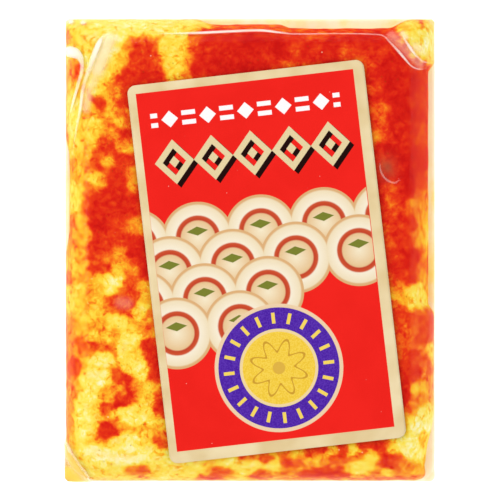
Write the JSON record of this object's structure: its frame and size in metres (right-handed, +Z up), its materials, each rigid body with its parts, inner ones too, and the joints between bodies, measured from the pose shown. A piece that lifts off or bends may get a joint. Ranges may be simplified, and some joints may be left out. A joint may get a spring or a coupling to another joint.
{
  "type": "vacuum-packed halloumi cheese block",
  "caption": "Rounded slab of paprika-marbled halloumi cheese sealed in tight clear film, with a tilted printed paper label stuck on its upper face.",
  "frame": {"origin": "centre of the flat underside that the pack lies on", "axes": "+Z up, out of the labelled face; +Y along the long side, towards the label's head; +X to the right as the label is read"},
  "size_m": [0.09, 0.1126, 0.0249],
  "materials": {
    "pack": "glossy clear film drawn tight over yellow curd marbled with red paprika",
    "label": "satin coated paper, red panel in a cream border"
  },
  "bodies": {
    "root": {"sealed_pack": "pack", "paper_label": "label"}
  },
  "joints": []
}
